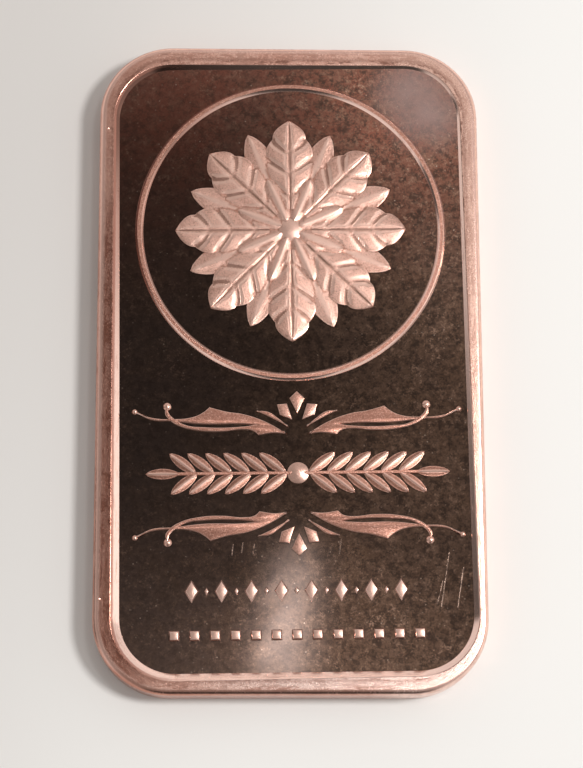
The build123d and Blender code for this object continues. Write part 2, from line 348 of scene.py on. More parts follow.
# mirror_field, on the floors: toned brown, redder to the far end, and finely mottled on the right
mirror_field, tree, shader, place = new_metal("mirror_field")
grey_brown = (0.158, 0.105, 0.089, 1)
warm_brown = (0.195, 0.114, 0.078, 1)
red_brown = (0.30, 0.105, 0.072, 1)
light_mottle = (0.33, 0.20, 0.14, 1)
dark_mottle = (0.065, 0.043, 0.034, 1)
dark_speck = (0.080, 0.050, 0.040, 1)
bright_speck = (0.50, 0.31, 0.23, 1)
bright_dot = (0.80, 0.62, 0.52, 1)
bright_rub = (0.70, 0.50, 0.42, 1)
pale_painted_glow = (0.54, 0.375, 0.345, 1)
pale_painted_streak_glow = (0.30, 0.235, 0.215, 1)

x, y, z = split(tree, place)
cast = use(tree, tarnish, Place=place, Per_Millimetre=0.13, Start=0.36, End=0.64)
patches = use(tree, tarnish, Place=place, Per_Millimetre=0.3, Start=0.42, End=0.62)
mottle = use(tree, tarnish, Place=place, Per_Millimetre=0.9, Start=0.42, End=0.6)
flecks = use(tree, tarnish, Place=place, Per_Millimetre=1.0, Start=0.47, End=0.58)
dark = use(tree, tarnish, Place=place, Per_Millimetre=1.5, Start=0.49, End=0.57)
tooth = use(tree, grain, Place=place, Per_Millimetre=2.8)
dots = add_node(tree, "ShaderNodeTexVoronoi", {"Vector": place, "Scale": 1.7}).outputs["Distance"]
spread = ease(tree, x, -11.0, 6.0)
uneven = scaled(tree, spread, 0.55, 0.45)
busy = scaled(tree, ease(tree, x, -9.0, 13.0), 0.6, patches)
red_end = times(tree, ease(tree, y, 2.0, 19.0), scaled(tree, cast, 0.4, 0.5))
mottle = times(tree, mottle, uneven, scaled(tree, flecks, 0.5, 0.2))
shade = times(tree, ease(tree, tooth, 0.5, 0.36), uneven, 0.65)
speckle = times(tree, ease(tree, tooth, 0.52, 0.62), scaled(tree, busy, 0.4, 0.1))
speckle = times(tree, speckle, scaled(tree, flecks, 0.8, 0.4))
dots = times(tree, ease(tree, dots, 0.13, 0.05), scaled(tree, flecks, 0.7, 0.3))

# wear and painted light that only the front field has: in the far right corner a rougher haze, painted paler
# as a painted reflection; at the near end a slightly rougher film, painted paler as a painted glow round the
# streak; and short rubs
front = ease(tree, z, 1.0, 1.6)
# painted light: the haze is painted paler, a painted reflection, as well as being rougher
haze_and_painted_glow = use(tree, mark, Place=place, From=(9.6, 21.4, 0), To=(10.6, 19.8, 0), Width=4.2)
haze_and_painted_glow = times(tree, haze_and_painted_glow, front, ease(tree, clouds(tree, place, 0.3, detail=2.0), -0.2, 0.6))
# painted light: the film is painted paler round the streak's reflection, a painted glow, as well as being a
# little rougher
film_and_painted_glow = use(tree, mark, Place=place, From=(-0.7, -23.5, 0), To=(0.2, -15.5, 0), Width=4.5)
film_and_painted_glow = times(tree, film_and_painted_glow, front)
rubs = 0.0
for head, tail, width in (
    ((11.7, -14.5, 0), (11.05, -18.5, 0), 0.075), ((11.2, -16.6, 0), (10.75, -18.3, 0), 0.06),
    ((12.75, -15.6, 0), (12.25, -18.55, 0), 0.075), ((-4.2, -13.9, 0), (-4.3, -14.7, 0), 0.07),
    ((-3.5, -13.8, 0), (-3.58, -14.5, 0), 0.07), ((-2.65, -13.9, 0), (-2.75, -14.6, 0), 0.07),
    ((3.75, -13.5, 0), (3.6, -14.6, 0), 0.06),
):
    rub = use(tree, mark, Place=place, From=head, To=tail, Width=width)
    rubs = reckon(tree, "MAXIMUM", rubs, rub)
rubs = times(tree, rubs, front, ease(tree, clouds(tree, place, 2.2), 0.3, 0.55))

colour = blend(tree, grey_brown, warm_brown, scaled(tree, spread, 0.6, times(tree, cast, 0.4)))
colour = blend(tree, colour, red_brown, red_end)
colour = blend(tree, colour, light_mottle, mottle)
colour = blend(tree, colour, dark_mottle, dark, uneven, 0.7)
colour = blend(tree, colour, dark_speck, shade)
colour = blend(tree, colour, bright_speck, speckle)
colour = blend(tree, colour, pale_painted_glow, haze_and_painted_glow, 0.8)
colour = blend(tree, colour, pale_painted_streak_glow, film_and_painted_glow, 0.45)
colour = blend(tree, colour, bright_dot, dots, 0.6)
colour = blend(tree, colour, bright_rub, rubs, 0.5)
rough = scaled(tree, mottle, 0.025, 0.045)
rough = scaled(tree, haze_and_painted_glow, 0.16, rough)
rough = scaled(tree, film_and_painted_glow, 0.025, rough)
rough = scaled(tree, rubs, 0.1, rough)
waves = times(tree, clouds(tree, place, 0.25, detail=1.0), 0.008)
finish_metal(tree, shader, colour, rough, scaled(tree, rubs, -0.001, waves))

# polished_wall, on the slopes: bright, with brown along the left lip, painted shade over the far left walls,
# and a painted shadow low in the far left corner
polished_wall, tree, shader, place = new_metal("polished_wall")
bright_wall = (0.90, 0.62, 0.53, 1)
brown_streak = (0.52, 0.26, 0.19, 1)
bright_grain = (0.95, 0.75, 0.66, 1)
painted_shade_wall = (0.46, 0.225, 0.17, 1)
painted_shadow_foot = (0.16, 0.075, 0.055, 1)
brown_lip = (0.42, 0.18, 0.13, 1)

x, y, z = split(tree, place)
face = bar_thickness / mm
drawn = vector(tree, "MULTIPLY", place, (0.5, 0.5, 6.0))
streaks = use(tree, tarnish, Place=drawn, Per_Millimetre=1.0, Start=0.5, End=0.66)
tooth = use(tree, grain, Place=place, Per_Millimetre=7.0)
# painted light: the far left walls are painted duller, a painted shade, and low in the far left corner darker
# still, a painted shadow
painted_shade_far_left = times(tree, ease(tree, y, -3.0, 12.0), ease(tree, x, 0.0, -9.0))
corner = times(tree, ease(tree, y, 10.0, 19.0), ease(tree, x, -6.0, -11.0))
painted_shadow_at_foot = times(tree, corner, ease(tree, z, face - 0.09, face - 0.17))
lip = ease(tree, scaled(tree, tooth, 0.12, z), face - 0.14, face - 0.05)
lip = times(tree, lip, ease(tree, x, -6.0, -12.0))

colour = blend(tree, bright_wall, brown_streak, streaks, 0.5)
colour = blend(tree, colour, bright_grain, ease(tree, tooth, 0.5, 0.66), 0.3)
colour = blend(tree, colour, painted_shade_wall, painted_shade_far_left, 0.7)
colour = blend(tree, colour, painted_shadow_foot, painted_shadow_at_foot, 0.85)
colour = blend(tree, colour, brown_lip, lip, 0.8)
rough = scaled(tree, streaks, 0.12, scaled(tree, tooth, 0.1, 0.11))
finish_metal(tree, shader, colour, rough, times(tree, tooth, 0.002))


def rounded_plate(width, length, radius, height):
    """A flat plate with round corners at one height."""
    start_piece()
    bpy.ops.mesh.primitive_plane_add(size=1, location=(0, 0, height))
    plate = bpy.context.object
    plate.scale = (width, length, 1)
    settle(plate)
    edit(plate)
    bpy.ops.mesh.select_all(action="SELECT")
    bpy.ops.mesh.bevel(offset=radius, segments=corner_segments, affect="VERTICES")
    return done()


def close_up(piece):
    """Merge an edited piece's doubles, turn its faces outwards and go back to object mode."""
    bpy.ops.mesh.select_all(action="SELECT")
    bpy.ops.mesh.remove_doubles(threshold=touch)
    bpy.ops.mesh.normals_make_consistent(inside=False)
    if bmesh.from_edit_mesh(piece.data).calc_volume(signed=True) < 0:
        bpy.ops.mesh.flip_normals()
    return done()


def plateau(rim_at_side, rim_at_end, depth):
    """The face of a die that sinks a field: a plate, a wider plate above it, and the sloped wall between."""
    clearance = 0.5 * mm
    rise = depth + clearance
    spread = rise * tan(wall_slope)
    width, length = bar_width - 2 * rim_at_side, bar_length - 2 * rim_at_end
    radius = corner_radius - rim_at_side
    die = rounded_plate(width, length, radius, 0)
    mouth = rounded_plate(width + 2 * spread, length + 2 * spread, radius + spread, rise)
    take(die)
    mouth.select_set(True)
    bpy.ops.object.join()
    die.data.materials.append(polished_wall)
    die.data.materials.append(mirror_field)
    edit(die)
    bpy.ops.mesh.select_mode(type="EDGE")
    bpy.ops.mesh.select_all(action="SELECT")
    bpy.ops.mesh.bridge_edge_loops()
    pick(die, "faces", lambda f: all(v.co.z < touch for v in f.verts))
    die.active_material_index = 1
    bpy.ops.object.material_slot_assign()
    return close_up(die)


def cut(piece, cutter, operation="DIFFERENCE"):
    """Cut one piece with another, or unite them, and drop the second."""
    take(piece)
    step = piece.modifiers.new("strike", "BOOLEAN")
    step.operation = operation
    step.object = cutter
    step.solver = "MANIFOLD"
    step.material_mode = "TRANSFER"
    bpy.ops.object.modifier_apply(modifier=step.name)
    bpy.data.objects.remove(cutter)


def is_lip(e, level):
    """Whether an edge lies at a level where a sunken wall meets the rim."""
    sharp = radians(25)
    return all(abs(v.co.z - level) < touch for v in e.verts) and e.calc_face_angle(0) > sharp


cut(bar, to_die(plateau(side_rim, end_rim, front_depth)))
back_die = plateau(side_rim, side_rim, back_depth)
back_die.rotation_euler = (pi, 0, 0)
back_die.location = (0, 0, back_depth)
cut(bar, settle(back_die))

lip_radius, lip_segments = 0.06 * mm, 3
edit(bar)
for level in (0, bar_thickness):
    pick(bar, "edges", lambda e: is_lip(e, level))
    bpy.ops.mesh.bevel(offset=lip_radius, segments=lip_segments, affect="EDGES")
done()


# The ring round the rosette: a raised line, flat on top with sloped sides.
# It was engraved in the die, so it stands on the field in one piece with the bar.
# Like all the relief it is frosted copper: the die was blasted there; its crests are painted lighter, partly
# rubbed wear and partly a painted highlight.

root = 0.1 * mm  # how far the pieces of the relief reach below the field
field_half_width = bar_width / 2 - side_rim
field_half_length = bar_length / 2 - end_rim
ring_gap = 1.18 * mm
ring_radius = field_half_width - ring_gap
ring_width = 0.64 * mm
ring_height = 0.2 * mm
ring_middle = (0, field_half_length - ring_gap - ring_radius)

# frosted_copper, on the relief: darker at its foot; lighter on crests and edges, rubbed wear with a painted
# highlight, and darker in hollows, a painted shade, as one point attribute marks; and lighter where the
# attribute carved marks, a painted lit copy of the finish
frosted_copper, tree, shader, place = new_metal("frosted_copper")
foot_copper = (0.34, 0.148, 0.104, 1)
top_copper = (0.56, 0.27, 0.20, 1)
painted_lit_carved_pink = (0.95, 0.60, 0.49, 1)
dull_brown = (0.46, 0.205, 0.145, 1)
bright_grain = (0.95, 0.60, 0.48, 1)
dark_grain = (0.27, 0.125, 0.09, 1)
hollow_shade_brown = (0.20, 0.10, 0.07, 1)
crest_highlight_pink = (0.95, 0.63, 0.52, 1)

field_normal = Euler(die_turn, "ZYX").to_matrix() @ Vector((0, 0, 1))
field_middle = Vector((die_shift, 0, bar_thickness - front_depth)) / mm
rise = vector(tree, "DOT_PRODUCT", vector(tree, "SUBTRACT", place, field_middle), field_normal)
tooth = use(tree, grain, Place=place, Per_Millimetre=8.0)
dull = use(tree, tarnish, Place=place, Per_Millimetre=0.5, Start=0.4, End=0.64)
wear_and_painted_light = add_node(tree, "ShaderNodeAttribute", {}, attribute_name="wear_and_painted_light").outputs["Fac"]
carved = add_node(tree, "ShaderNodeAttribute", {}, attribute_name="carved").outputs["Fac"]
# painted light: crests, edges, domes and studs are painted lighter, partly rubbed wear and partly a painted
# highlight, and hollows darker, a painted shade
lightened = ease(tree, wear_and_painted_light, 0.1, 0.9)
hollow = ease(tree, wear_and_painted_light, -0.1, -0.9)

colour = blend(tree, foot_copper, top_copper, ease(tree, rise, 0.0, 0.15))
# painted light: the carved pieces, the rosette fully and the middle petals by half, are painted lighter than
# the other relief, a lit copy of the frosted copper
colour = blend(tree, colour, painted_lit_carved_pink, carved, 0.72)
colour = blend(tree, colour, dull_brown, dull, 0.4)
colour = blend(tree, colour, bright_grain, ease(tree, tooth, 0.52, 0.64), 0.6)
colour = blend(tree, colour, dark_grain, ease(tree, tooth, 0.48, 0.36), 0.55)
colour = blend(tree, colour, hollow_shade_brown, hollow, 0.6)
colour = blend(tree, colour, crest_highlight_pink, lightened, 0.85)
rough = scaled(tree, lightened, -0.03, scaled(tree, tooth, 0.18, 0.24))
finish_metal(tree, shader, colour, rough, times(tree, tooth, scaled(tree, lightened, -0.017, 0.02)))


def note(piece, name, amount):
    """Write a value at each point of a piece for its finish to read."""
    layer = piece.data.attributes.new(name, "FLOAT", "POINT")
    layer.data.foreach_set("value", [amount(v) for v in piece.data.vertices])


def frost(pieces, steep=None):
    """Give relief its frosted finish. Where tops are flat, faces whose normal has a Z below steep are
    polished, and what lies under the top is painted lighter, partly rubbed wear and partly a painted
    highlight on the edges, unless the piece already says so."""
    for piece in pieces:
        piece.data.materials.append(frosted_copper)
        if steep:
            piece.data.materials.append(polished_wall)
            for face in piece.data.polygons:
                face.material_index = int(face.normal.z < steep)
            if "wear_and_painted_light" not in piece.data.attributes:
                edge_drop = 0.01 * mm
                under_top = max(v.co.z for v in piece.data.vertices) - edge_drop
                note(piece, "wear_and_painted_light", lambda v: float(v.co.z < under_top))


def lathe(stations, segments, closed=False):
    """Turn a form from a circle that is extruded from one (radius, height) station to the next.
    A closed form is a ring, whose last station is joined to its first."""
    start_piece()
    radius, height = stations[0]
    bpy.ops.mesh.primitive_circle_add(vertices=segments, radius=radius, location=(0, 0, 0))
    form = bpy.context.object
    form.location.z = height
    settle(form)
    edit(form)
    bpy.ops.mesh.select_all(action="SELECT")
    extrude = bpy.ops.mesh.extrude_edges_move
    if not closed:
        extrude = bpy.ops.mesh.extrude_region_move
        bpy.ops.mesh.edge_face_add()
        bpy.ops.mesh.select_all(action="SELECT")
    for next_radius, next_height in stations[1:]:
        extrude(TRANSFORM_OT_translate={"value": (0, 0, next_height - height)})
        ratio = next_radius / radius
        bpy.ops.transform.resize(value=(ratio, ratio, 1), center_override=(0, 0, next_height))
        radius, height = next_radius, next_height
    if closed:
        pick(form, "edges", lambda e: e.is_boundary)
        bpy.ops.mesh.bridge_edge_loops()
    return close_up(form)


def move_to(piece, x, y):
    """Slide a piece across the field."""
    piece.location = (x, y, 0)
    return settle(piece)


ring_slope, ring_foot = 0.14 * mm, 0.02 * mm
ring_shoulder, ring_shelf = ring_height * 0.78, ring_slope * 1.4
ring_inside = ring_radius - ring_width
ring_segments, ring_steep = 192, 0.85
ring = lathe([
    (ring_inside, -root),
    (ring_inside, -ring_foot),
    (ring_inside + ring_slope, ring_shoulder),
    (ring_inside + ring_shelf, ring_height),
    (ring_radius - ring_shelf, ring_height),
    (ring_radius - ring_slope, ring_shoulder),
    (ring_radius, -ring_foot),
    (ring_radius, -root),
], ring_segments, closed=True)
move_to(ring, *ring_middle)
frost([ring], ring_steep)


# The rosette in the ring: lobed leaves, plain leaves that show between them, petals and a round boss.
# Its leaves were cut in the die with a graver: a sunk midrib, side veins to each notch and hollowed lobes.
# It is frosted copper in one piece with the bar; its ridges and leaf edges are painted lighter, partly rubbed
# wear and partly a painted highlight, and its veins and hollows darker, a painted shade.

leaf_count = 8
half_step = pi / leaf_count
leaf_root, leaf_tip = 1.6 * mm, ring_radius - ring_width - 2.4 * mm
leaf_half_width = 1.85 * mm
leaf_cusps = [(0.0, 0.4), (0.3, 0.7), (0.56, 0.9), (0.79, 0.68), (1.0, 0.0)]
under_leaf_tip, under_leaf_half_width = leaf_tip - 0.5 * mm, 1.2 * mm
petal_root, petal_tip, petal_half_width = 0.6 * mm, 4.4 * mm, 1.05 * mm
petal_turn = radians(0.6)
boss_radius, boss_height, boss_segments = 1.2 * mm, 0.29 * mm, 46


def sculpt_leaf(near, far, rows, columns, half_width, height):
    """A leaf along +X from a grid: each row takes the leaf's width there, and each point its carved height.
    A point attribute says how far each point stands proud of what is round it, which is painted lighter as
    rubbed wear with a painted highlight, or lies below it, which is painted darker as a painted shade; the
    leaf's edges are painted lighter too."""
    edge_wear_and_highlight, full_rise, reach = 0.7, 0.018 * mm, 2
    start_piece()
    bpy.ops.mesh.primitive_grid_add(x_subdivisions=rows, y_subdivisions=columns, size=1)
    leaf = bpy.context.object
    grid = {}
    for v in leaf.data.vertices:
        along, across = v.co.x + 0.5, v.co.y * 2
        grid[round(along * rows), round((across + 1) / 2 * columns)] = v
        wide = half_width(along)
        v.co = (near + along * (far - near), across * wide, height(along, across if wide > touch else 1))
    wear = {}
    for (i, j), v in grid.items():
        spots = ((i - reach, j), (i + reach, j), (i, j - reach), (i, j + reach))
        around = [grid[spot].co.z for spot in spots if spot in grid]
        proud = v.co.z - sum(around) / len(around)
        wear[v.index] = edge_wear_and_highlight if len(around) < 3 or j in (0, columns) else proud / full_rise
    note(leaf, "wear_and_painted_light", lambda v: wear[v.index])
    edit(leaf)
    bpy.ops.mesh.select_all(action="SELECT")
    bpy.ops.mesh.remove_doubles(threshold=touch)
    bpy.ops.mesh.extrude_region_move(TRANSFORM_OT_translate={"value": (0, 0, -root)})
    bpy.ops.transform.resize(value=(1, 1, 0), center_override=(0, 0, -root))
    return close_up(leaf)


def copy_of(piece):
    """A second piece with a mesh of its own."""
    copy = piece.copy()
    copy.data = piece.data.copy()
    bpy.context.collection.objects.link(copy)
    return copy


def round_middle(leaf, turn):
    """Copies of a leaf set evenly round the rosette's middle, every other one cut a little smaller."""
    smaller = 0.012
    leaves = []
    for i in range(leaf_count):
        copy = copy_of(leaf)
        copy.rotation_euler.z = turn + 2 * pi * i / leaf_count
        copy.scale *= 1 - smaller * (i % 2)
        leaves.append(settle(copy))
    bpy.data.objects.remove(leaf)
    return leaves


def lobed_width(along):
    """Half the width of a lobed leaf: lobes that bulge between the cusps."""
    side_bulge, tip_bulge, rounding = 0.16, 0.2, 1e-9
    for (a, wide), (b, narrow) in zip(leaf_cusps, leaf_cusps[1:]):
        if along <= b + rounding:
            t = (along - a) / (b - a)
            bulge = side_bulge if b < 1 else tip_bulge
            return leaf_half_width * (wide + (narrow - wide) * t + 4 * bulge * t * (1 - t))
    return 0.0


def lobed_height(along, across):
    """Carved height of a lobed leaf: a rounded back, a sunk midrib, and veins that run out to the notches."""
    back, tip_drop, side_drop, side_curve, thinnest = 0.22, 0.05, 0.10, 1.8, 0.05
    midrib_depth, midrib_width = 0.05, 0.07
    vein_depth, vein_width, vein_slant, vein_fade = 0.055, 0.022, 0.17, 2.5
    out = abs(across)
    height = back - tip_drop * along - side_drop * out ** side_curve
    height -= midrib_depth * exp(-(out / midrib_width) ** 2)
    for notch, _ in leaf_cusps[1:-1]:
        start = notch - vein_slant * (1 - out)
        height -= vein_depth * exp(-((along - start) / vein_width) ** 2) * min(1, out * vein_fade)
    return max(height, thinnest) * mm


def plain_width(half_width):
    """Half the width of a plain pointed leaf."""
    slimness = 0.75
    return lambda along: half_width * (4 * along * (1 - along)) ** slimness


def plain_height(ridge, droop, fall):
    """Carved height of a plain leaf: hollow sides, a raised midrib and a slightly raised rim."""
    hollow, rim_rise, rim_start = 1.6, 0.35, 0.75

    def height(along, across):
        out = abs(across)
        rim = rim_rise * fall * max(0, out - rim_start)
        return (ridge - droop * along - fall * (1 - (1 - out) ** hollow) + rim) * mm
    return height


def dome(radius, height, segments):
    """A round boss: a short lip and a domed top that is painted lighter, partly rubbed wear and partly a
    painted highlight.
    """
    lip_share, steps, lightened = 0.3, 8, 0.6
    lip = lip_share * height
    crown = height - lip
    ball = (crown ** 2 + radius ** 2) / (2 * crown)
    stations = [(radius, -root), (radius, lip)]
    for i in range(1, steps):
        out = radius * cos(pi / 2 * i / steps)
        stations.append((out, lip + crown - ball + (ball ** 2 - out ** 2) ** 0.5))
    boss = lathe(stations, segments)
    note(boss, "wear_and_painted_light", lambda v: lightened)
    return boss


under_leaf = sculpt_leaf(
    leaf_root, under_leaf_tip, rows=20, columns=10, half_width=plain_width(under_leaf_half_width),
    height=plain_height(ridge=0.14, droop=0.03, fall=0.06))
rosette = round_middle(under_leaf, half_step)
lobed_leaf = sculpt_leaf(
    leaf_root, leaf_tip, rows=52, columns=22, half_width=lobed_width, height=lobed_height)
rosette += round_middle(lobed_leaf, 0)
petal = sculpt_leaf(
    petal_root, petal_tip, rows=20, columns=10, half_width=plain_width(petal_half_width),
    height=plain_height(ridge=0.27, droop=0.06, fall=0.1))
rosette += round_middle(petal, half_step + petal_turn)
rosette.append(dome(boss_radius, boss_height, boss_segments))
for piece in rosette:
    note(piece, "carved", lambda v: 1.0)
    move_to(piece, *ring_middle)
frost(rosette)


# The scrolls above and below the leaf band: winged scrolls with a strap that curls up through the tail.
# They are flat-topped line work in the die, so they are drawn as flat outlines and raised with soft edges.
# They are frosted copper in one piece with the bar, with small balls at the tips; their edges and balls are
# painted lighter, partly rubbed wear and partly a painted highlight.

scroll_middle = (0.25 * mm, -field_half_length + 14.77 * mm)
scroll_height = 0.17 * mm
scroll_edge = 0.08 * mm
scroll_steep = 0.3
strap_lift = 0.012 * mm
half_carved = 0.5
wing_tip, strap_tip = (12.1, 4.75), (9.68, 5.13)
wing_ball_radius, wing_ball_height = 0.21 * mm, 0.21 * mm
strap_ball_radius, strap_ball_height = 0.3 * mm, 0.22 * mm
ball_segments = 24


def raise_outline(points, height):
    """A flat-topped relief from a closed outline of (x, y, sharp) points in millimetres."""
    start_piece()
    drawing = bpy.data.curves.new("outline", "CURVE")
    drawing.dimensions = "2D"
    drawing.fill_mode = "BOTH"
    drawing.resolution_u = 8
    drawing.extrude = (height + root) / 2 - scroll_edge
    drawing.bevel_depth = scroll_edge
    drawing.bevel_resolution = 1
    drawing.offset = -scroll_edge
    line = drawing.splines.new("BEZIER")
    line.bezier_points.add(len(points) - 1)
    line.use_cyclic_u = True
    for knot, (x, y, sharp) in zip(line.bezier_points, points):
        knot.co = (x * mm, y * mm, 0)
        knot.handle_left_type = knot.handle_right_type = "VECTOR" if sharp else "AUTO"
    shape = bpy.data.objects.new("outline", drawing)
    bpy.context.collection.objects.link(shape)
    shape.location.z = (height - root) / 2
    take(shape)
    bpy.ops.object.convert(target="MESH")
    shape = settle(bpy.context.object)
    edit(shape)
    return close_up(shape)


def mirrored(piece, across, along):
    """A copy of a piece on the other side of the scrolls' middle lines."""
    copy = copy_of(piece)
    copy.scale = (across, along, 1)
    settle(copy)
    edit(copy)
    return close_up(copy)


wing_outline = [
    (0.73, 2.95, True), (2.4, 3.92, False), (3.95, 4.48, False), (5.3, 4.71, False), (6.53, 5.05, True),
    (6.98, 4.67, False), (7.74, 4.32, False), (9.3, 4.17, False), (10.89, 4.3, False), (*wing_tip, True),
    (10.89, 4.12, False), (9.3, 3.99, False), (7.0, 3.75, False), (4.0, 3.73, False), (2.4, 3.52, False),
]
leaflet_outline = [
    (0.62, 3.47, True), (1.4, 4.15, False), (2.2, 4.67, False),
    (3.1, 4.73, True), (2.4, 4.43, False), (1.5, 3.96, False),
]
side_petal_outline = [(0.75, 5.27, True), (1.5, 5.21, True), (1.29, 4.41, True), (0.35, 4.03, True)]
strap_outline = [
    (0.79, 2.93, True), (1.8, 3.02, False), (2.9, 2.87, True), (3.27, 3.18, False), (4.1, 3.3, False),
    (5.57, 3.17, False), (7.26, 3.24, False), (8.8, 3.63, False), (9.56, 4.14, False), (9.86, 4.64, False),
    (*strap_tip, True), (9.56, 4.64, False), (9.16, 4.19, False), (8.23, 3.68, False), (7.0, 3.53, False),
    (5.5, 3.48, False), (4.0, 3.55, False), (2.4, 3.68, False),
]
middle_petal_outline = [(0.0, 6.23, True), (0.56, 5.68, True), (0.0, 4.53, True), (-0.56, 5.68, True)]

wing = raise_outline(wing_outline, scroll_height)
leaflet = raise_outline(leaflet_outline, scroll_height)
side_petal = raise_outline(side_petal_outline, scroll_height)
strap = raise_outline(strap_outline, scroll_height + strap_lift)
wing_ball = dome(wing_ball_radius, wing_ball_height, ball_segments)
move_to(wing_ball, *(c * mm for c in wing_tip))
strap_ball = dome(strap_ball_radius, strap_ball_height, ball_segments)
move_to(strap_ball, *(c * mm for c in strap_tip))
middle_petal = raise_outline(middle_petal_outline, scroll_height)
for piece in (side_petal, middle_petal):
    note(piece, "carved", lambda v: half_carved)
scrolls = [wing, leaflet, side_petal, strap, wing_ball, strap_ball]
for piece in list(scrolls):
    scrolls += [mirrored(piece, -1, 1), mirrored(piece, 1, -1), mirrored(piece, -1, -1)]
scrolls += [middle_petal, mirrored(middle_petal, 1, -1)]
frost(scrolls, scroll_steep)


# The leaf band between the scrolls: a stem with paired leaves that run outwards from a middle boss.
# It was cut a little deeper in the die than the scrolls, with a ridge along each leaf.
# It too is frosted copper in one piece with the bar.

band_half_length = field_half_width - 1.7 * mm
band_leaf_length, band_leaf_half_width = 2.5 * mm, 0.4 * mm
band_leaf_slant = radians(38)
band_leaf_stagger = 0.1 * mm
band_pairs = 6
band_stem_width, band_stem_height, band_stem_edge = 0.26 * mm, 0.17 * mm, 0.06 * mm
band_stem_start, band_stem_end = 0.2 * mm, band_half_length - band_leaf_length
band_boss_radius, band_boss_height = 0.8 * mm, 0.24 * mm


def is_long_top(e):
    """Whether an edge of a stem lies on top and runs along it."""
    return all(v.co.z > 0 for v in e.verts) and abs(e.verts[0].co.y - e.verts[1].co.y) < touch


band = []
for side in (0, pi):
    start_piece()
    bpy.ops.mesh.primitive_cube_add(size=1)
    stem = bpy.context.object
    stem_length = band_stem_end + band_leaf_length / 2 - band_stem_start
    stem.scale = (stem_length, band_stem_width, band_stem_height + root)
    stem.location = (band_stem_start + stem.scale.x / 2, 0, (band_stem_height - root) / 2)
    settle(stem)
    edit(stem)
    pick(stem, "edges", is_long_top)
    bpy.ops.mesh.bevel(offset=band_stem_edge, segments=2, affect="EDGES")
    stem = done()
    stem.rotation_euler.z = side
    band.append(settle(stem))
    places = [(band_stem_end, 0.0)]
    for i in range(band_pairs):
        at = band_boss_radius + (band_stem_end - band_boss_radius) * i / band_pairs
        places += [(at, band_leaf_slant), (at + band_leaf_stagger, -band_leaf_slant)]
    for at, slant in places:
        leaf = sculpt_leaf(
            0, band_leaf_length, rows=14, columns=8, half_width=plain_width(band_leaf_half_width),
            height=plain_height(ridge=0.21, droop=0.02, fall=0.09))
        leaf.rotation_euler.z = slant
        leaf.location.x = at
        settle(leaf)
        leaf.rotation_euler.z = side
        band.append(settle(leaf))
band.append(dome(band_boss_radius, band_boss_height, boss_segments))
for piece in scrolls + band:
    move_to(piece, *scroll_middle)
frost(band)


# The two rows at the foot: large and small lozenges, and a row of square nailheads under them.
# They are cut studs, sloped to a flat top, with polished sides.
# They too were sunk in the die and are in one piece with the bar.

row_steep = 0.85


def stud(width, length, height, turned):
    """A four-sided stud: a square block with its top drawn in and its edges eased."""
    # the studs' frosted parts are painted lighter, partly rubbed wear and partly a painted highlight
    side_slope, soft_edge, lightened = radians(40), 0.03 * mm, 0.75
    diagonal = 2 ** 0.5 if turned else 1
    start_piece()
    bpy.ops.mesh.primitive_cube_add(size=1, location=(0, 0, (height - root) / 2))
    block = bpy.context.object
    block.scale.z = height + root
    block.rotation_euler.z = pi / 4 if turned else 0
    settle(block)
    block.scale = (width / diagonal, length / diagonal, 1)
    settle(block)
    edit(block)
    pick(block, "faces", lambda f: all(v.co.z > 0 for v in f.verts))
    inset = height * tan(side_slope)
    if turned:
        inset *= hypot(width, length) / min(width, length)
        top_width = top_length = 1 - inset / length * min(width, length) / width * 2
    else:
        top_width, top_length = 1 - 2 * inset / width, 1 - 2 * inset / length
    bpy.ops.transform.resize(value=(top_width, top_length, 1), center_override=(0, 0, height))
    pick(block, "edges", lambda e: any(v.co.z > 0 for v in e.verts))
    bpy.ops.mesh.bevel(offset=soft_edge, segments=2, affect="EDGES")
    block = done()
    note(block, "wear_and_painted_light", lambda v: lightened)
    return block


def row_of(count, pitch, above_foot, size, turned):
    """Equal studs in a row across the field; all lengths are in millimetres."""
    middle = (count - 1) / 2
    studs = []
    for i in range(count):
        block = stud(*(length * mm for length in size), turned)
        studs.append(move_to(block, (i - middle) * pitch * mm, -field_half_length + above_foot * mm))
    return studs


rows = row_of(8, pitch=2.2, above_foot=6.0, size=(1.2, 1.9, 0.19), turned=True)
rows += row_of(7, pitch=2.2, above_foot=6.0, size=(0.5, 0.8, 0.12), turned=True)
rows += row_of(13, pitch=1.5, above_foot=2.75, size=(0.9, 0.9, 0.19), turned=False)
frost(rows, row_steep)


# The struck bar: all the relief is one piece with the bar, pressed up from its metal by the one blow.
# The pieces are united with it one by one, and its flat faces are kept flat where they meet the soft edges.

for piece in [ring] + rosette + scrolls + band + rows:
    cut(bar, to_die(piece), "UNION")

take(bar)
bpy.ops.object.shade_smooth_by_angle(angle=radians(30))
bar.modifiers.new("flat_faces", "WEIGHTED_NORMAL").keep_sharp = True
bpy.ops.object.modifier_apply(modifier="flat_faces")

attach(bar, "root")
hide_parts("copper_ingot")


# The floor: a sheet of plain pale card that the bar lies on.
# It is matt and a little warm; its colour is painted lighter towards the lamp on the right and darker away
# from it, a painted pool of light.
# Far from the bar it also shines a little in reflections, as a wide sheet in a bright room does.

start_piece()
bpy.ops.mesh.primitive_plane_add(size=2, location=(0, 0, 0))
floor = bpy.context.object
floor.name = "floor"
pale_card = bpy.data.materials.new("pale_card")
pale_card.use_nodes = True
tree = pale_card.node_tree
shader = tree.nodes["Principled BSDF"]
painted_shade_card = (0.70, 0.665, 0.635, 1)
painted_lit_card = (0.90, 0.88, 0.85, 1)
x, y = split(tree, add_node(tree, "ShaderNodeTexCoord", {}).outputs["Object"])[:2]
